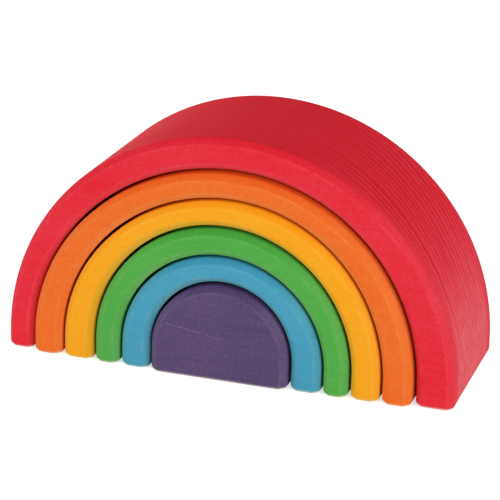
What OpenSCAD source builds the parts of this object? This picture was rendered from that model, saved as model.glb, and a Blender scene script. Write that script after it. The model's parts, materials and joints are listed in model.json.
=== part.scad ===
// A six-piece rainbow stacker: five nested wooden arches over a solid half disc.
// All pieces are sawn from one block, so each face of a saw cut fits the face across it.
// Lengths are in millimetres. +Z is up, the flat faces look along -Y and +Y,
// and the origin is on the table under the middle of the nest.

/* [Nest] */
// Depth of every piece from its front face to its back face
depth = 62.8; // [30:0.1:120]
// Width of the saw cuts between the pieces
gap = 0.95; // [0.8:0.05:3]
// How far the middle of the saw cuts lies right of the middle of the block
cuts_aside = -1.35; // [-3:0.05:3]
// Width of the slope that is sanded along every edge, measured on each of the two faces
edge_width = 2.3; // [0.8:0.1:3.5]

/* [Half disc] */
// Radius of the half disc in the middle
half_disc_radius = 25.9; // [15:0.1:50]
// Height of the straight part of its sides, under the round part
half_disc_leg = 10.2; // [8:0.1:13]

/* [Blue arch] */
// Thickness of its legs
blue_wall = 11.1; // [6:0.1:20]
// Height of the straight part of its outer face
blue_leg = 8.3; // [6:0.1:11]

/* [Green arch] */
// Thickness of its legs
green_wall = 9.2; // [6:0.1:20]
// Height of the straight part of its outer face
green_leg = 8.9; // [7:0.1:11.5]

/* [Yellow arch] */
// Thickness of its legs
yellow_wall = 11.1; // [6:0.1:20]
// Height of the straight part of its outer face
yellow_leg = 7.2; // [5:0.1:10]

/* [Orange arch] */
// Thickness of its legs
orange_wall = 10.85; // [6:0.05:20]
// Height of the straight part of its outer face
orange_leg = 5.7; // [4:0.1:8]

/* [Red arch] */
// Thickness of its legs, half way between the left one and the right one
red_wall = 12.05; // [8:0.05:20]
// Height of the straight part of its outer face
red_leg = 5.1; // [3.5:0.1:15]

/* [Place of each piece by hand] */
// How far the half disc sits right of the middle of its saw cut, as a share of the gap
half_disc_aside = 0; // [-0.6:0.05:0.6]
// How far the orange arch stands forward of the red one
orange_ahead = 2.3; // [-6:0.1:6]
// How far the yellow arch stands forward of the red one
yellow_ahead = 2.2; // [-6:0.1:6]
// How far the green arch stands forward of the red one
green_ahead = 2.7; // [-6:0.1:6]
// How far the blue arch stands forward of the red one
blue_ahead = 2.6; // [-6:0.1:6]
// How far the half disc stands forward of the red arch
half_disc_ahead = 3.8; // [-6:0.1:6]

/* [Hidden] */
$fn = 128;

// A curved face is told by the place of its middle from side to side, its leg and its radius.
function middle_of(face) = face[0];
function leg_of(face) = face[1];
function radius_of(face) = face[2];

// The face across the saw cut from a piece's outer face
function across(face) = [middle_of(face), leg_of(face), radius_of(face) + gap];

// The outer face of an arch, from its inner face, the middle and leg of the outer face and its wall
function around(face, middle, leg, wall) = [middle, leg, radius_of(face) + wall];

half_disc_outside = [cuts_aside, half_disc_leg, half_disc_radius];
blue_inside = across(half_disc_outside);
blue_outside = around(blue_inside, cuts_aside, blue_leg, blue_wall);
green_inside = across(blue_outside);
green_outside = around(green_inside, cuts_aside, green_leg, green_wall);
yellow_inside = across(green_outside);
yellow_outside = around(yellow_inside, cuts_aside, yellow_leg, yellow_wall);
orange_inside = across(yellow_outside);
orange_outside = around(orange_inside, cuts_aside, orange_leg, orange_wall);
red_inside = across(orange_outside);
red_outside = around(red_inside, 0, red_leg, red_wall);

// The nest as a whole stands over the origin from front to back
aheads = [0, orange_ahead, yellow_ahead, green_ahead, blue_ahead, half_disc_ahead];
red_y = (max(aheads) + min(aheads)) / 2;

// The sloped edge, kept within the thinnest leg, the thinnest top, the depth and the shortest leg
function top_of(inside, outside) = radius_of(outside) + leg_of(outside) - radius_of(inside) - leg_of(inside);
walls = [
    blue_wall,
    green_wall,
    yellow_wall,
    orange_wall,
    red_wall - abs(cuts_aside),
    top_of(blue_inside, blue_outside),
    top_of(green_inside, green_outside),
    top_of(yellow_inside, yellow_outside),
    top_of(orange_inside, orange_outside),
    top_of(red_inside, red_outside),
];
legs = [half_disc_leg, blue_leg, green_leg, yellow_leg, orange_leg, red_leg];
most_of_wall = 0.3;
most_of_depth = 0.4;
most_of_leg = 0.6;
edge = min(edge_width, most_of_wall * min(walls), most_of_depth * depth, most_of_leg * min(legs));

// The band beside a curved face that holds its sloped edges, and how far the core reaches into it
band = 1.5 * edge;
lap = 0.25 * edge;

// The right half of a section from front to back, with its two outer corners cut off
module half_plan(width) {
    polygon([
        [0, -depth / 2],
        [width - edge, -depth / 2],
        [width, -depth / 2 + edge],
        [width, depth / 2 - edge],
        [width - edge, depth / 2],
        [0, depth / 2],
    ]);
}

// The view of a block from one side, with the corners at its base cut off
module base_view(width, height) {
    polygon([
        [-width / 2 + edge, 0],
        [width / 2 - edge, 0],
        [width / 2, edge],
        [width / 2, height],
        [-width / 2, height],
        [-width / 2, edge],
    ]);
}

// A straight block that stands on the table, with sloped edges at its four corners and round its base
module block(width, height) {
    intersection() {
        linear_extrude(height)
            for (side = [0, 1])
                mirror([side, 0])
                    half_plan(width / 2);
        rotate([90, 0, 0])
            linear_extrude(depth, center = true)
                base_view(width, height);
        rotate([90, 0, 90])
            linear_extrude(width, center = true)
                base_view(depth, height);
    }
}

// Half a turn of a section about a line from front to back
module half_turn_of_section() {
    rotate([90, 0, 0])
        rotate_extrude(angle = 180)
            children();
}

// The band inside a curved face, or outside it where outwards is true, above a height
module sloped_band(face, outwards, height) {
    radius = radius_of(face);
    rise = leg_of(face) - height;
    translate([middle_of(face), 0, height]) {
        translate([0, 0, rise])
            half_turn_of_section()
                band_section(radius, outwards);
        for (side = [0, 1])
            mirror([side, 0, 0])
                linear_extrude(rise)
                    band_section(radius, outwards);
    }
}

// The section of such a band, right of the middle
module band_section(radius, outwards) {
    translate([outwards ? radius + band : radius - band, 0])
        mirror([outwards ? 1 : 0, 0])
            half_plan(band);
}

// The front view of what a curved face covers above a height, widened by some width
module covered(face, wider, height) {
    radius = radius_of(face) + wider;
    rise = leg_of(face) - height;
    translate([middle_of(face), height]) {
        translate([0, rise])
            intersection() {
                circle(radius);
                translate([-radius, 0])
                    square([2 * radius, radius]);
            }
        translate([-radius, 0])
            square([2 * radius, rise]);
    }
}

// Half way between the sloped base of a foot and its top, where the parts above reach down to
function start_in(foot_height) = (edge + foot_height) / 2;

// An arch between an inner and an outer face, on two feet
module arch(inside, outside) {
    foot_height = min(leg_of(inside), leg_of(outside));
    start = start_in(foot_height);
    for (side = [-1, 1]) {
        near = middle_of(inside) + side * radius_of(inside);
        far = middle_of(outside) + side * radius_of(outside);
        translate([(near + far) / 2, 0, 0])
            block(abs(far - near), foot_height);
    }
    sloped_band(outside, false, start);
    sloped_band(inside, true, start);
    rotate([90, 0, 0])
        linear_extrude(depth, center = true)
            difference() {
                covered(outside, lap - band, start);
                covered(inside, band - lap, start);
            }
}

module half_disc() {
    start = start_in(half_disc_leg);
    color("#5D4C71")
        translate([half_disc_aside * gap, red_y - half_disc_ahead, 0]) {
            translate([middle_of(half_disc_outside), 0, 0])
                block(2 * half_disc_radius, half_disc_leg);
            sloped_band(half_disc_outside, false, start);
            rotate([90, 0, 0])
                linear_extrude(depth, center = true)
                    covered(half_disc_outside, lap - band, start);
        }
}

module blue_arch() {
    color("#4C9CBB")
        translate([0, red_y - blue_ahead, 0])
            arch(blue_inside, blue_outside);
}

module green_arch() {
    color("#55AB4C")
        translate([0, red_y - green_ahead, 0])
            arch(green_inside, green_outside);
}

module yellow_arch() {
    color("#F5A525")
        translate([0, red_y - yellow_ahead, 0])
            arch(yellow_inside, yellow_outside);
}

module orange_arch() {
    color("#EC6E2D")
        translate([0, red_y - orange_ahead, 0])
            arch(orange_inside, orange_outside);
}

module red_arch() {
    color("#E0323F")
        translate([0, red_y, 0])
            arch(red_inside, red_outside);
}

half_disc();
blue_arch();
green_arch();
yellow_arch();
orange_arch();
red_arch();
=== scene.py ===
# %% [markdown]
# # A wooden rainbow stacker
# The toy is one block of pale wood, sawn into five nested arches and the half disc that is left
# in the middle. Every edge is sanded to a small slope, and each piece is stained its own colour.
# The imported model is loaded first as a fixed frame, so that each piece goes where it belongs.

# %% Load the frame
import json
import math
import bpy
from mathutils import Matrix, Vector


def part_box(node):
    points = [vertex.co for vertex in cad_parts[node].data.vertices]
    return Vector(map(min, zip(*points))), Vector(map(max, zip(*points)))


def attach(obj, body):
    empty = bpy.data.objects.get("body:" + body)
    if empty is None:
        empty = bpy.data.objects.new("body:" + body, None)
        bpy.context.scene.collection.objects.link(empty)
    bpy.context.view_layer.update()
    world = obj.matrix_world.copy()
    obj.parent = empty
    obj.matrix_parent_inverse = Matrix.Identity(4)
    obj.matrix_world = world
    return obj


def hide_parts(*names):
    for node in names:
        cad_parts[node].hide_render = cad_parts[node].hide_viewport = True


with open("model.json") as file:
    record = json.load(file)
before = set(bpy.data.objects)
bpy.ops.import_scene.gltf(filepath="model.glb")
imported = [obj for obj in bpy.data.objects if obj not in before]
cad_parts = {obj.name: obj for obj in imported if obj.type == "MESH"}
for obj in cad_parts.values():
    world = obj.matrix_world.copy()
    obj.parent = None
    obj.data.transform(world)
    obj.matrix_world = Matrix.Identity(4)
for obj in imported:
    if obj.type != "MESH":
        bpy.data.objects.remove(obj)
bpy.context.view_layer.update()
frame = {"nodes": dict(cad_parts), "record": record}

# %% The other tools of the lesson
from types import SimpleNamespace

import bmesh
import bpy
from mathutils import Quaternion, Vector, noise

MM = 0.001

# %% [markdown]
# ## Six pieces, measured from the frame
# An arch has two curved faces, and each is told by three sizes: its middle from side to side, its
# radius, and the height of the straight legs below its arc. They could be typed in, but a number
# that is measured from the frame can't fall out of step with it. The legs are upright, so the
# points low down give the radius, and any point of the arc then gives the height of the legs.

# %% Measure every piece
STAINS = {
    "half_disc": "purple_stain",
    "blue_arch": "blue_stain",
    "green_arch": "green_stain",
    "yellow_arch": "yellow_stain",
    "orange_arch": "orange_stain",
    "red_arch": "red_stain",
}
TOUCH = 0.01 * MM
LOW = 3.0 * MM


def arc_radius(face, point):
    """Distance from the middle of a curved face: round its arc above the legs, sideways beside them."""
    return math.hypot(point.x - face.middle, max(point.z - face.leg, 0.0))


def curved_face(points, left, right, choose):
    """The face between two upright legs. Choose picks its leg height from those that the points give."""
    face = SimpleNamespace(middle=(left + right) / 2, radius=(right - left) / 2)
    near_top = [point for point in points if abs(point.x - face.middle) < face.radius / 2]
    legs = [point.z - math.sqrt(face.radius ** 2 - (point.x - face.middle) ** 2) for point in near_top]
    face.leg = choose(legs)
    return face


def measure(node):
    """The sizes of one piece: its depth, its wall, its sloped edge and its curved faces."""
    low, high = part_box(node)
    points = [vertex.co for vertex in frame["nodes"][node].data.vertices]
    size = SimpleNamespace(front=low.y, depth=high.y - low.y, middle_y=(low.y + high.y) / 2, inner=None)
    size.outer = curved_face(points, low.x, high.x, max)
    on_front = [arc_radius(size.outer, point) for point in points if point.y < size.front + TOUCH]
    size.edge = size.outer.radius - max(on_front)
    size.wall = size.outer.radius
    if node != "half_disc":
        left = max(point.x for point in points if point.z < LOW and point.x < size.outer.middle)
        right = min(point.x for point in points if point.z < LOW and point.x > size.outer.middle)
        size.inner = curved_face(points, left, right, min)
        size.wall = size.outer.radius - size.inner.radius
    return size


sizes = {node: measure(node) for node in STAINS}
for node, size in sizes.items():
    told = {"radius": size.outer.radius, "leg": size.outer.leg, "wall": size.wall, "edge": size.edge}
    print(node, {name: round(value / MM, 2) for name, value in told.items()})

# %% [markdown]
# ## The camera
# The picture was taken with a long lens from a little to the right and above, and the camera was
# held slightly turned. The camera is placed by those angles and by its distance from a point near
# the middle of the red arch. It could be aimed by a constraint, but a worked-out turn stays put.

# %% Place the camera
VIEW_AZIMUTH = math.radians(17.663)
VIEW_ELEVATION = math.radians(19.824)
VIEW_ROLL = math.radians(1.485)
VIEW_DISTANCE = 802.6 * MM
VIEW_ASIDE = -1.17 * MM
VIEW_HEIGHT = 38.75 * MM
LENS = 156.5
SENSOR_WIDTH = 36.0
SEES_TO = 20.0

towards_camera = Vector((
    math.sin(VIEW_AZIMUTH) * math.cos(VIEW_ELEVATION),
    -math.cos(VIEW_AZIMUTH) * math.cos(VIEW_ELEVATION),
    math.sin(VIEW_ELEVATION),
))
view_target = Vector((VIEW_ASIDE, sizes["red_arch"].middle_y, VIEW_HEIGHT))
bpy.ops.object.camera_add()
camera = bpy.context.object
camera.data.sensor_width = SENSOR_WIDTH
camera.data.lens = LENS
camera.data.clip_end = SEES_TO
camera.location = view_target + VIEW_DISTANCE * towards_camera
camera.rotation_mode = "QUATERNION"
aim = (-towards_camera).to_track_quat("-Z", "Y")
camera.rotation_quaternion = aim @ Quaternion((0, 0, 1), VIEW_ROLL)
bpy.context.scene.camera = camera
print("camera at", [round(part, 3) for part in camera.location])

# %% [markdown]
# ## Choosing parts of a mesh in code
# By hand, points, edges and faces are picked with the mouse. In a script they are picked by a
# question that each of them answers: where it is, how long it is, or how sharp it is.


# %% Pick points, edges or faces
def pick(piece, kind, wanted):
    """Selects only the points, edges or faces that wanted says yes to, and returns how many there are."""
    bpy.ops.mesh.select_mode(type=kind)
    bpy.ops.mesh.select_all(action="DESELECT")
    shape = bmesh.from_edit_mesh(piece.data)
    parts = {"VERT": shape.verts, "EDGE": shape.edges, "FACE": shape.faces}[kind]
    chosen = [part for part in parts if wanted(part)]
    for part in chosen:
        part.select_set(True)
    bmesh.update_edit_mesh(piece.data)
    return len(chosen)


# %% [markdown]
# ## Sawing an arch
# The toymaker saws each arch out of the block along its curve. A boolean of two cylinders would
# give that shape, but with poor faces. A flat section that is spun half a turn leaves clean rows
# of four-sided faces that follow the curve, and the two ends are then drawn down to the table as
# feet. The two faces of an arch have middles at different heights, so the inner wall is picked
# and moved to its own place. For the half disc the section starts at the middle line itself.

# %% Spin the section, draw down the feet and move the inner wall
STEP_ROUND = 1.5 * MM
CORE = 4.0 * MM


def spin_arch(name, size):
    """Makes the sharp-edged arch, or the half disc, and leaves it in edit mode."""
    outer = size.outer
    bpy.ops.object.select_all(action="DESELECT")
    bpy.ops.mesh.primitive_plane_add(size=1.0)
    piece = bpy.context.object
    piece.name = name
    bpy.ops.object.mode_set(mode="EDIT")
    bpy.ops.transform.resize(value=(size.wall, size.depth, 1.0))
    section_x = outer.middle + outer.radius - size.wall / 2
    bpy.ops.transform.translate(value=(section_x, size.middle_y, outer.leg))
    # A cut near the middle line keeps the narrow faces round it short
    if size.inner is None:
        bpy.ops.mesh.bisect(plane_co=(outer.middle + CORE, 0, 0), plane_no=(1, 0, 0))
        bpy.ops.mesh.select_all(action="SELECT")
    bpy.ops.mesh.spin(
        steps=round(math.pi * outer.radius / STEP_ROUND),
        angle=math.pi,
        center=(outer.middle, size.middle_y, outer.leg),
        axis=(0, 1, 0),
    )
    bpy.ops.mesh.select_all(action="SELECT")
    bpy.ops.mesh.remove_doubles(threshold=TOUCH)
    pick(piece, "FACE", lambda face: all(abs(vertex.co.z - outer.leg) < TOUCH for vertex in face.verts))
    bpy.ops.mesh.extrude_region_move(TRANSFORM_OT_translate={"value": (0, 0, -outer.leg)})
    bpy.ops.mesh.select_all(action="SELECT")
    bpy.ops.mesh.normals_make_consistent(inside=False)
    return piece


def move_inner_wall(piece, size):
    """Moves the inner wall from the middle of the outer face to its own. The feet stay on the table."""
    aside = size.inner.middle - size.outer.middle
    rise = size.inner.leg - size.outer.leg

    def on_wall(vertex):
        return abs(arc_radius(size.outer, vertex.co) - size.inner.radius) < TOUCH

    pick(piece, "VERT", lambda vertex: on_wall(vertex) and vertex.co.z > TOUCH)
    bpy.ops.transform.translate(value=(aside, 0, rise))
    pick(piece, "VERT", lambda vertex: on_wall(vertex) and vertex.co.z < TOUCH)
    bpy.ops.transform.translate(value=(aside, 0, 0))


# %% [markdown]
# ## The stray of the saw
# No hand follows a curve exactly. Each saw cut strays to and fro by a few tenths of a millimetre,
# and the two pieces beside it stray together, so the gap between them stays even. A wave with
# three crests over the full turn comes close to such a cut. Noise would too, but a wave can be
# set to the crest that the eye sees.

# %% Let the saw cuts stray
STRAY_CRESTS = 3
SAW_STRAY = {
    "half_disc": {"reach": 0.12 * MM, "crest": math.radians(72)},
    "green_arch": {"reach": 0.15 * MM, "crest": math.radians(78)},
    "yellow_arch": {"reach": 0.6 * MM, "crest": math.radians(62)},
    "orange_arch": {"reach": 0.65 * MM, "crest": math.radians(56)},
}


def stray_step(cut, face, point):
    """The step from the true curve of a saw cut to where the saw went."""
    turn = math.atan2(max(point.z - face.leg, 0.0), point.x - face.middle)
    reach = cut["reach"] * math.cos(STRAY_CRESTS * (turn - cut["crest"]))
    return reach * Vector((math.cos(turn), 0, math.sin(turn)))


def let_stray(piece, cut, face):
    """Moves the points of one curved face by the stray of its saw cut."""
    shape = bmesh.from_edit_mesh(piece.data)
    for vertex in shape.verts:
        if abs(arc_radius(face, vertex.co) - face.radius) < TOUCH:
            vertex.co += stray_step(cut, face, vertex.co)
    bmesh.update_edit_mesh(piece.data)


# %% [markdown]
# ## Sloped edges
# A sander takes every edge off to a narrow slope, narrower still round the soles of the feet, and
# a last rub by hand eases the two lines where a slope begins and ends. One bevel gives the long
# slopes, one the slopes round the soles, and a finer one over all the lines eases them. One
# bevel of a single width would be shorter, but the feet would look cut off at the corners. The
# new points of the last bevel are marked as worn, because the stain is thin there. The long
# faces are then cut into narrow rows, so that the mesh has points enough to hold the wood grain.

# %% Slope the edges, ease them and cut the faces into rows
SHARP = math.radians(60)
CRISP = math.radians(25)
SOLE_EDGE = 1.1 * MM
EASE = 0.6 * MM
EASE_SEGMENTS = 4
ROW_WIDTH = 0.5 * MM
FACE_ROW = 1.6 * MM
CROSSES_WALL = 0.3


def sharper_than(angle):
    """The question whether the two faces beside an edge turn by more than an angle."""
    return lambda edge: edge.is_manifold and edge.calc_face_angle() > angle


def on_sole(edge):
    return all(vertex.co.z < TOUCH for vertex in edge.verts)


def bevel_picked(width, segments):
    """Takes the picked edges off by a width, measured on each of the two faces."""
    bpy.ops.mesh.bevel(offset=width, segments=segments, profile=0.5, affect="EDGES", clamp_overlap=False)


def slope_edges(piece, size):
    """Slopes and eases the sharp edges, marks the eased lines as worn, and returns how many were sharp."""
    is_sharp = sharper_than(SHARP)
    sharp = pick(piece, "EDGE", lambda edge: is_sharp(edge) and not on_sole(edge))
    bevel_picked(size.edge, 1)
    sharp += pick(piece, "EDGE", lambda edge: is_sharp(edge) and on_sole(edge))
    bevel_picked(SOLE_EDGE, 1)
    pick(piece, "EDGE", sharper_than(CRISP))
    bevel_picked(EASE, EASE_SEGMENTS)
    shape = bmesh.from_edit_mesh(piece.data)
    worn = shape.verts.layers.float.new("worn")
    for vertex in shape.verts:
        vertex[worn] = float(all(face.select for face in vertex.link_faces))
    bmesh.update_edit_mesh(piece.data)
    return sharp


def cut_into_rows(piece, size):
    """Cuts the long faces into rows, closes the mesh and leaves edit mode."""
    def runs_deep(edge):
        return abs(edge.verts[0].co.y - edge.verts[1].co.y) > size.depth / 2

    def runs_across(edge):
        start, end = (arc_radius(size.outer, vertex.co) for vertex in edge.verts)
        return abs(start - end) > CROSSES_WALL * size.wall

    pick(piece, "EDGE", runs_deep)
    bpy.ops.mesh.subdivide(number_cuts=round((size.depth - 2 * size.edge) / ROW_WIDTH) - 1)
    pick(piece, "EDGE", runs_across)
    bpy.ops.mesh.subdivide(number_cuts=round((size.wall - 2 * size.edge) / FACE_ROW) - 1)
    bpy.ops.mesh.select_all(action="SELECT")
    bpy.ops.mesh.remove_doubles(threshold=TOUCH)
    bpy.ops.mesh.normals_make_consistent(inside=False)
    bpy.ops.object.mode_set(mode="OBJECT")
    bpy.ops.object.shade_smooth()


pieces = {}
covered = None
for node, size in sizes.items():
    piece = spin_arch("stained_" + node, size)
    if size.inner:
        move_inner_wall(piece, size)
    # The inner wall was cut by the saw that cut the outside of the piece that this one covers
    if covered in SAW_STRAY:
        let_stray(piece, SAW_STRAY[covered], size.inner)
    if node in SAW_STRAY:
        let_stray(piece, SAW_STRAY[node], size.outer)
    sharp = slope_edges(piece, size)
    cut_into_rows(piece, size)
    pieces[node] = piece
    covered = node
    print(piece.name, sharp, "sharp edges sloped,", len(piece.data.polygons), "faces")

# %% [markdown]
# ## Growth rings
# All six pieces come from one block, so one set of growth rings runs through them. The block was
# sawn beside the heart of the tree: the heart runs along X behind the toy, at about half its
# height. A ring count is worked out for each point and kept on the mesh as an attribute, so that
# the relief below and the stain later on both read the same rings. A texture alone could draw
# the lines, but then the surface and the colour would not agree.

# %% Count the rings at every point
HEART_Y = 84.0 * MM
HEART_Z = 40.0 * MM
RING_WIDTH = 3.4 * MM
SWAY = {"reach": 1.2 * MM, "scale": (9, 22, 22)}
QUIVER = {"reach": 0.25 * MM, "scale": (40, 160, 160)}
UNEVEN = 0.6
UNEVEN_PACE = 0.7


def waver(point, kind):
    """How far the rings waver at a point: noise that is drawn out along the fibres."""
    drawn_out = Vector([part * scale for part, scale in zip(point, kind["scale"])])
    return kind["reach"] * noise.noise(drawn_out)


def ring_count(point):
    """How many rings lie between the heart of the tree and a point. Its whole part names the ring."""
    reach = math.hypot(point.y - HEART_Y, point.z - HEART_Z)
    reach += waver(point, SWAY)
    reach += waver(point, QUIVER)
    count = reach / RING_WIDTH
    return count + UNEVEN * noise.noise(Vector((UNEVEN_PACE * count, 0.5, 0.5)))


for piece in pieces.values():
    rings = piece.data.attributes.new(name="ring", type="FLOAT", domain="POINT")
    rings.data.foreach_set("value", [ring_count(vertex.co) for vertex in piece.data.vertices])
    counts = [count.value for count in rings.data]
    print(piece.name, "rings", round(min(counts), 1), "to", round(max(counts), 1))

# %% [markdown]
# ## Relief
# Sanding rubs the soft part of a ring away, so across the end grain each ring ends in a fine
# step, and no sanded face is perfectly flat. Both are less than a tenth of a millimetre deep. The
# depth goes into a vertex group, and a Displace modifier presses the surface in by it. A bump in
# the material would be quicker, but the mesh itself would stay smooth. Pressing only inwards
# keeps the toy inside its true size, and the soles of the feet stay flat. The sander works the
# edges hardest, so the steps fade out towards the flat faces.

# %% Press the grain into the surface
RELIEF = 0.14 * MM
WAVE_LENGTH = 24.0 * MM
RING_SHARE = 0.6
WAVE_SHARE = 0.4
RING_STEP = 5
SOLE_STEP = 4
FADE = 9.0 * MM


def relief_at(size, point, normal, count):
    """Share of the relief depth at a point, from 0 to 1."""
    end_grain = normal.x * normal.x
    groove = (count % 1.0) ** RING_STEP
    from_face = size.depth / 2 - abs(point.y - size.middle_y)
    inside = min(max((from_face - size.edge) / FADE, 0.0), 1.0)
    wave = 0.5 + 0.5 * noise.noise(point / WAVE_LENGTH)
    flat = max(0.0, -normal.z) ** SOLE_STEP if point.z < LOW else 0.0
    return (RING_SHARE * end_grain * groove * inside + WAVE_SHARE * wave) * (1.0 - flat)


for node, piece in pieces.items():
    rings = piece.data.attributes["ring"].data
    depths = piece.vertex_groups.new(name="relief")
    for vertex in piece.data.vertices:
        share = relief_at(sizes[node], vertex.co, vertex.normal, rings[vertex.index].value)
        depths.add([vertex.index], min(max(share, 0.0), 1.0), "REPLACE")
    press = piece.modifiers.new("relief", "DISPLACE")
    press.vertex_group = depths.name
    press.mid_level = 0.0
    press.strength = -RELIEF
    bpy.ops.object.select_all(action="DESELECT")
    piece.select_set(True)
    bpy.context.view_layer.objects.active = piece
    bpy.ops.object.modifier_apply(modifier=press.name)
    piece.vertex_groups.clear()
    print(piece.name, "pressed in, top at mm", round(max(v.co.z for v in piece.data.vertices) / MM, 2))

# %% [markdown]
# ## Small helpers for materials
# A material is a tree of nodes. Five helpers keep the trees short to write: one adds a node and
# feeds its sockets with numbers or with other nodes' outputs, one does sums, one takes X, Y or Z
# out of a vector, one turns a stretch of values into a soft step from 0 to 1, and one breaks up a
# line. The nodes could be wired by hand in the editor, but the same few patterns come back often.


# %% Add nodes
def place(tree, kind, feeds, **settings):
    """Adds a node, sets its menus, and feeds its sockets with values or with other nodes' outputs."""
    made = tree.nodes.new("ShaderNode" + kind)
    for menu, choice in settings.items():
        setattr(made, menu, choice)
    for socket, value in feeds.items():
        if isinstance(value, bpy.types.NodeSocket):
            tree.links.new(value, made.inputs[socket])
        else:
            made.inputs[socket].default_value = value
    return made


def sum_of(tree, operation, first, second=0.0, third=0.0):
    """One step of arithmetic, as the output of a Math node."""
    return place(tree, "Math", {0: first, 1: second, 2: third}, operation=operation).outputs[0]


def part_of(tree, vector, axis):
    """One part of a vector: 0 for X, 1 for Y, 2 for Z."""
    return place(tree, "SeparateXYZ", {0: vector}).outputs[axis]


def soft_step(tree, value, start, end):
    """0 where a value is at its start, 1 where it is at its end, and smooth between."""
    feeds = {"Value": value, "From Min": start, "From Max": end}
    return place(tree, "MapRange", feeds, interpolation_type="SMOOTHSTEP").outputs[0]


def patches(tree, here, scale, detail, step):
    """Patches of 1 with gaps of 0 between them, to break up a line."""
    cloud = place(tree, "TexNoise", {"Vector": here, "Scale": scale, "Detail": detail})
    return soft_step(tree, cloud.outputs[0], *step)


# %% [markdown]
# ## Grain
# Wood is a bundle of fibres that run along X. Noise that is stretched along X gives them at two
# sizes: fine fibres a few tenths of a millimetre wide, and broad streaks. Noise that isn't
# stretched gives the fine mottle of a stain that soaked in unevenly, and large pale blotches.
# The rings come from the attribute: a ring ends in a dark line, and the next one starts pale.
# They show where the saw has cut across the fibres, at the sides of an arch, and fade out at its
# top and along its edges. Low on the sides the pale starts show more, and the colour there is
# painted lighter, as a painted reflection of the white floor.

# %% Grain nodes
GRAIN = {
    "fibre": {"scale": (70, 2600, 2600), "detail": 3.0},
    "streak": {"scale": (14, 330, 330), "detail": 2.0},
    "mottle": {"scale": (900, 900, 900), "detail": 3.0},
    "blotch": {"scale": (38, 38, 38), "detail": 2.0},
}
FAINTEST_RING = 0.35
RING_END_POWER = 4.0
RING_START_POWER = 5.0
RING_BREAKS = {"scale": 220, "detail": 2.0, "step": (0.4, 0.65)}
END_GRAIN_STEP = (0.2, 0.65)
HIGH_ON_SIDE = 60.0 * MM
LOW_ON_SIDE = 12.0 * MM


def stretched_noise(tree, here, scale, detail):
    """Noise about 0, with a scale of its own along X, Y and Z."""
    mapped = place(tree, "Mapping", {"Vector": here, "Scale": scale})
    grain = place(tree, "TexNoise", {"Vector": mapped.outputs[0], "Scale": 1.0, "Detail": detail})
    return sum_of(tree, "SUBTRACT", grain.outputs[0], 0.5)


def ring_lines(tree, here):
    """The dark end of each ring, stronger in some, and the broken pale start of the next, from 0 to 1."""
    count = place(tree, "Attribute", {}, attribute_name="ring").outputs["Fac"]
    part = sum_of(tree, "FRACT", count)
    own = place(tree, "TexWhiteNoise", {"W": sum_of(tree, "FLOOR", count)}, noise_dimensions="1D")
    strength = sum_of(tree, "MULTIPLY_ADD", own.outputs["Value"], 1.0 - FAINTEST_RING, FAINTEST_RING)
    dark = sum_of(tree, "MULTIPLY", sum_of(tree, "POWER", part, RING_END_POWER), strength)
    rest = sum_of(tree, "SUBTRACT", 1.0, part)
    start = sum_of(tree, "POWER", rest, RING_START_POWER)
    pale = sum_of(tree, "MULTIPLY", start, patches(tree, here, **RING_BREAKS))
    return dark, pale


def across_fibres(tree, spot):
    """1 where a face cuts across the fibres, 0 along them."""
    facing = part_of(tree, spot.outputs["Normal"], 0)
    return soft_step(tree, sum_of(tree, "ABSOLUTE", facing), *END_GRAIN_STEP)


def off_flat_faces(tree, here, size):
    """0 on the flat faces and their slopes, rising to 1 further in."""
    off_middle = sum_of(tree, "SUBTRACT", part_of(tree, here, 1), size.middle_y)
    off_middle = sum_of(tree, "ABSOLUTE", off_middle)
    from_face = sum_of(tree, "SUBTRACT", size.depth / 2, off_middle)
    return soft_step(tree, from_face, size.edge, size.edge + FADE)


# This height mask fades the ring lines and places the painted reflection of the floor low on the sides
def low_on_side(tree, here):
    """1 near the table, 0 from two thirds of the nest's height upwards."""
    return soft_step(tree, part_of(tree, here, 2), HIGH_ON_SIDE, LOW_ON_SIDE)


# %% [markdown]
# ## Wear, and painted light and shade
# Sandpaper and small hands thin the stain where the edges were eased, in a fine pale line that
# comes and goes. Faces that look up are painted darker, as painted shade, and slopes that look
# down are painted lighter, as painted light from the white floor. Round the soles that painted
# light is strongest, together with the wear of soles that rub on the table. The half disc has one
# long scratch across its front. It is drawn as the distance from a line between two points of that
# face.

# %% Wear and painted light nodes
WEAR_BREAKS = {"scale": 120, "detail": 2.0, "step": (0.35, 0.65)}
# Facing steps for the painted shade on faces that look up
PAINTED_SHADE_UP_STEP = (0.35, 0.9)
# Facing steps for the painted light from the floor on faces that look down
PAINTED_LIGHT_DOWN_STEP = (-0.15, -0.7)
SCRATCH = {
    "half_disc": {"start": Vector((-21.3, 0, 19.9)) * MM, "end": Vector((0.9, 0, 16.3)) * MM},
}
SCRATCH_WIDTH = 0.35 * MM
SCRATCH_BREAKS = {"scale": 400, "detail": 1.0, "step": (0.25, 0.5)}


def worn_edges(tree, here):
    """1 on the worn lines along the eased edges, broken up and falling to 0 beside them."""
    line = place(tree, "Attribute", {}, attribute_name="worn").outputs["Fac"]
    return sum_of(tree, "MULTIPLY", line, patches(tree, here, **WEAR_BREAKS))


def painted_shade_up_and_light_down(tree, spot):
    """Two outputs: 1 where a face faces upwards, where shade is painted, and 1 where it faces downwards,
    where painted light from the floor goes. Both are 0 on upright faces.
    """
    facing = part_of(tree, spot.outputs["Normal"], 2)
    return soft_step(tree, facing, *PAINTED_SHADE_UP_STEP), soft_step(tree, facing, *PAINTED_LIGHT_DOWN_STEP)


def sole_light_and_wear(tree, here, down):
    """1 on the soles and on the slopes round them, and 0 higher up: where painted light from the floor and
    wear are laid.
    """
    return sum_of(tree, "MULTIPLY", down, soft_step(tree, part_of(tree, here, 2), LOW, 0.0))


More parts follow.
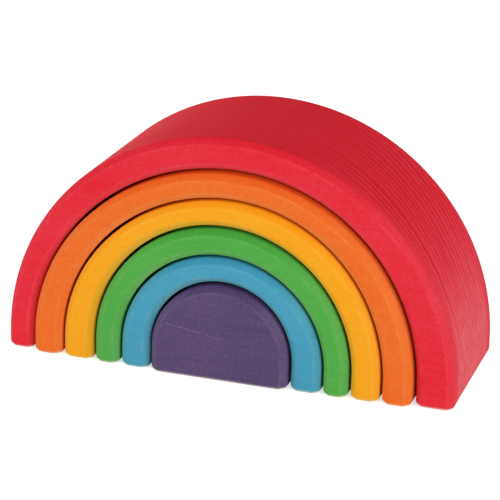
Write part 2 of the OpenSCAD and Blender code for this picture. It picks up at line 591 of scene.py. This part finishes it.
def scratch_line(tree, here, size, scratch):
    """1 along a scratch on the front face, 0 elsewhere."""
    run = scratch["end"] - scratch["start"]
    flat = place(tree, "VectorMath", {0: here, 1: (1, 0, 1)}, operation="MULTIPLY").outputs[0]
    reach = place(tree, "VectorMath", {0: flat, 1: scratch["start"]}, operation="SUBTRACT").outputs[0]
    along = place(tree, "VectorMath", {0: reach, 1: run / run.length_squared}, operation="DOT_PRODUCT")
    share = place(tree, "Clamp", {"Value": along.outputs["Value"]}).outputs[0]
    nearest = place(tree, "VectorMath", {0: run, "Scale": share}, operation="SCALE").outputs[0]
    away = place(tree, "VectorMath", {0: reach, 1: nearest}, operation="DISTANCE").outputs["Value"]
    line = soft_step(tree, away, SCRATCH_WIDTH, 0.0)
    line = sum_of(tree, "MULTIPLY", line, patches(tree, here, **SCRATCH_BREAKS))
    on_front = sum_of(tree, "LESS_THAN", part_of(tree, here, 1), size.middle_y)
    return sum_of(tree, "MULTIPLY", line, on_front)


# %% [markdown]
# ## Water stain on pale wood
# A stain is a filter over the wood: where it is twice as thick, its colour acts twice. The Gamma
# node raises a colour to a power, which is just that, so the stain's strength can follow the
# grain. Mixing two colours would be simpler, but a thin stain would then look chalky. The record
# gives each stain's colour as it shows on the wood, and the filter is that colour divided by the
# colour of the bare wood. Each mark of grain and wear, and each of painted light and shade, adds its
# share to the thickness, or takes it away where the share is below zero.

# %% Stain material
BARE_WOOD = (0.94, 0.80, 0.62)
SHARES = {
    "fibre": 0.2,
    "streak": 0.1,
    "mottle": 0.3,
    "blotch": 0.16,
    "ring end": 0.75,
    "ring start": -0.16,
    "end grain": -0.1,
    # Painted reflection of the white floor: the sides come out lighter low down
    "painted floor sheen low on side": -0.32,
    # Painted shade: faces that look up come out darker
    "painted top shade": 0.16,
    # Painted light from the white floor: slopes that look down come out lighter
    "painted light underneath": -0.23,
    # Painted light from the white floor, together with wear, round the soles
    "painted light and wear round sole": -0.55,
    "worn edge": -0.1,
    "scratch": -0.25,
}
DARK_LOW = -0.9
PALE_LOW = 0.8
RING_SHADE = -0.3
ROUGH = 0.6
FIBRE_ROUGH = 0.2
WORN_ROUGH = -0.08
STREAK_HEIGHT = 0.6
BUMP_STRENGTH = 0.2
BUMP_DEPTH = 0.06 * MM
GLOSS = 0.015
stain_colours = {row["slot"]: row["base_color"] for row in frame["record"]["materials"]}


def marks_of(tree, spot, node, size):
    """All the marks of grain and wear on a piece, and the masks of its painted light and shade, by name.
    """
    here = spot.outputs["Object"]
    end_grain = across_fibres(tree, spot)
    ringed = sum_of(tree, "MULTIPLY", end_grain, off_flat_faces(tree, here, size))
    low = sum_of(tree, "MULTIPLY", ringed, low_on_side(tree, here))
    dark, pale = ring_lines(tree, here)
    # Masks for the painted shade on faces that look up and the painted light on faces that look down
    up, down = painted_shade_up_and_light_down(tree, spot)
    dark_where = sum_of(tree, "MULTIPLY_ADD", low, DARK_LOW, ringed)
    pale_where = sum_of(tree, "MULTIPLY_ADD", low, PALE_LOW, ringed)
    marks = {name: stretched_noise(tree, here, **kind) for name, kind in GRAIN.items()}
    marks |= {
        "ring end": sum_of(tree, "MULTIPLY", dark, dark_where),
        "ring start": sum_of(tree, "MULTIPLY", pale, pale_where),
        "end grain": end_grain,
        # Painted reflection of the white floor, lighter low on the sides
        "painted floor sheen low on side": low,
        # Painted shade on faces that look up
        "painted top shade": up,
        # Painted light from the floor on faces that look down
        "painted light underneath": down,
        # Painted light from the floor, together with wear, round the soles
        "painted light and wear round sole": sole_light_and_wear(tree, here, down),
        "worn edge": worn_edges(tree, here),
    }
    if node in SCRATCH:
        marks["scratch"] = scratch_line(tree, here, size, SCRATCH[node])
    return marks


def stained_wood(node, slot, size):
    """The wood of one piece under its own stain, with painted light and shade in its colour."""
    material = bpy.data.materials.new(slot)
    material.use_nodes = True
    tree = material.node_tree
    finish = tree.nodes["Principled BSDF"]
    marks = marks_of(tree, place(tree, "TexCoord", {}), node, size)

    thick = 1.0
    for name, mark in marks.items():
        thick = sum_of(tree, "MULTIPLY_ADD", mark, SHARES[name], thick)
    filter_colour = [min(seen / bare, 1.0) for seen, bare in zip(stain_colours[slot], BARE_WOOD)]
    tint = place(tree, "Gamma", {"Color": (*filter_colour, 1.0), "Gamma": thick})
    shade = sum_of(tree, "MULTIPLY_ADD", marks["ring end"], RING_SHADE, 1.0)
    wood = place(tree, "VectorMath", {0: BARE_WOOD, "Scale": shade}, operation="SCALE")
    colour = place(tree, "VectorMath", {0: wood.outputs[0], 1: tint.outputs[0]}, operation="MULTIPLY")
    tree.links.new(colour.outputs[0], finish.inputs["Base Color"])

    rough = sum_of(tree, "MULTIPLY_ADD", marks["fibre"], FIBRE_ROUGH, ROUGH)
    rough = sum_of(tree, "MULTIPLY_ADD", marks["worn edge"], WORN_ROUGH, rough)
    tree.links.new(rough, finish.inputs["Roughness"])
    height = sum_of(tree, "MULTIPLY_ADD", marks["streak"], STREAK_HEIGHT, marks["fibre"])
    bump = place(tree, "Bump", {"Height": height, "Strength": BUMP_STRENGTH, "Distance": BUMP_DEPTH})
    tree.links.new(bump.outputs[0], finish.inputs["Normal"])
    finish.inputs["Specular IOR Level"].default_value = GLOSS
    return material


for node, slot in STAINS.items():
    pieces[node].data.materials.append(stained_wood(node, slot, sizes[node]))
    print(slot, "made with", len(pieces[node].active_material.node_tree.nodes), "nodes")

# %% [markdown]
# ## Floor
# The toy stands on a white sweep of paper. The paper itself is a plain white that keeps the
# toy's soft shadow. For the camera, and in reflections, some glow is added so that open paper
# comes out white. Stronger lamps would make it white too, but would bleach the toy.

# %% Floor
FLOOR_SIZE = 8.0
PAPER = (0.82, 0.82, 0.82, 1.0)
PAPER_ROUGH = 0.9
PAPER_GLOW = 0.6


def is_seen(tree):
    """1 for what is seen directly, in a reflection or through glass, 0 for light that falls on the toy."""
    path = place(tree, "LightPath", {}).outputs
    seen = sum_of(tree, "MAXIMUM", path["Is Camera Ray"], path["Is Glossy Ray"])
    return sum_of(tree, "MAXIMUM", seen, path["Is Transmission Ray"])


bpy.ops.object.select_all(action="DESELECT")
bpy.ops.mesh.primitive_plane_add(size=FLOOR_SIZE)
floor = bpy.context.object
floor.name = "paper_floor"
paper = bpy.data.materials.new("white_paper")
paper.use_nodes = True
sheet = paper.node_tree.nodes["Principled BSDF"]
sheet.inputs["Base Color"].default_value = PAPER
sheet.inputs["Roughness"].default_value = PAPER_ROUGH
sheet.inputs["Specular IOR Level"].default_value = 0.0
sheet.inputs["Emission Color"].default_value = (1, 1, 1, 1)
glow = sum_of(paper.node_tree, "MULTIPLY", is_seen(paper.node_tree), PAPER_GLOW)
paper.node_tree.links.new(glow, sheet.inputs["Emission Strength"])
floor.data.materials.append(paper)
print("floor", FLOOR_SIZE, "m across")

# %% [markdown]
# ## Light
# Two large soft lamps stand rather low in front, one to the right and one to the left. Between
# them they reach into the saw cuts from both sides, so no slope lies in deep shade. The flat faces
# are the brightest, the right side is nearly as bright, and the top of the outer arch is a little
# darker. One lamp straight ahead could light the faces too, but would leave the slopes dull. A
# weaker lamp behind keeps the back from going dark. The world adds an even fill, and looks white
# to the camera and in reflections, so that no horizon shows.

# %% Lamps and world
# The top of the outer arch is also darker by painted shade in the stain, and the slopes under the arches
# lighter by painted light from the floor, beyond what these lamps give
LAMPS = {
    "right_softbox": {"turn": 50, "height": 14, "distance": 1.5, "size": 0.7, "power": 9.7},
    "left_softbox": {"turn": -50, "height": 14, "distance": 1.5, "size": 0.7, "power": 7.0},
    "back_softbox": {"turn": -130, "height": 12, "distance": 1.5, "size": 0.55, "power": 4.0},
}
FILL = 0.53
LAMP_AIM = Vector((0, 0, 40)) * MM

for name, lamp in LAMPS.items():
    turn = math.radians(lamp["turn"])
    height = math.radians(lamp["height"])
    level = math.cos(height)
    way = Vector((math.sin(turn) * level, -math.cos(turn) * level, math.sin(height)))
    bpy.ops.object.light_add(type="AREA", location=LAMP_AIM + lamp["distance"] * way)
    light = bpy.context.object
    light.name = name
    light.rotation_euler = (-way).to_track_quat("-Z", "Y").to_euler()
    light.data.size = lamp["size"]
    light.data.energy = lamp["power"]
    print(name, "at", [round(part, 2) for part in light.location])

world = bpy.data.worlds.new("studio")
bpy.context.scene.world = world
world.use_nodes = True
sky = world.node_tree.nodes["Background"]
sky.inputs["Color"].default_value = (1, 1, 1, 1)
strength = sum_of(world.node_tree, "MULTIPLY_ADD", is_seen(world.node_tree), 1.0 - FILL, FILL)
world.node_tree.links.new(strength, sky.inputs["Strength"])
bpy.context.scene.view_settings.view_transform = "Standard"

# %% [markdown]
# ## Joining the pieces to the frame
# Every piece rides on the body it stands for, so that it lifts when that arch is lifted, and hides
# the plain solid in its place. Its material already bears the name of the stain that a repaint
# would change. Moving the pieces by keyframes could show them lifted too, but the frame already
# knows how each body moves.

# %% Ride and replace
for node, piece in pieces.items():
    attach(piece, node)
    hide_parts(node)
    print(piece.name, "rides on", node)
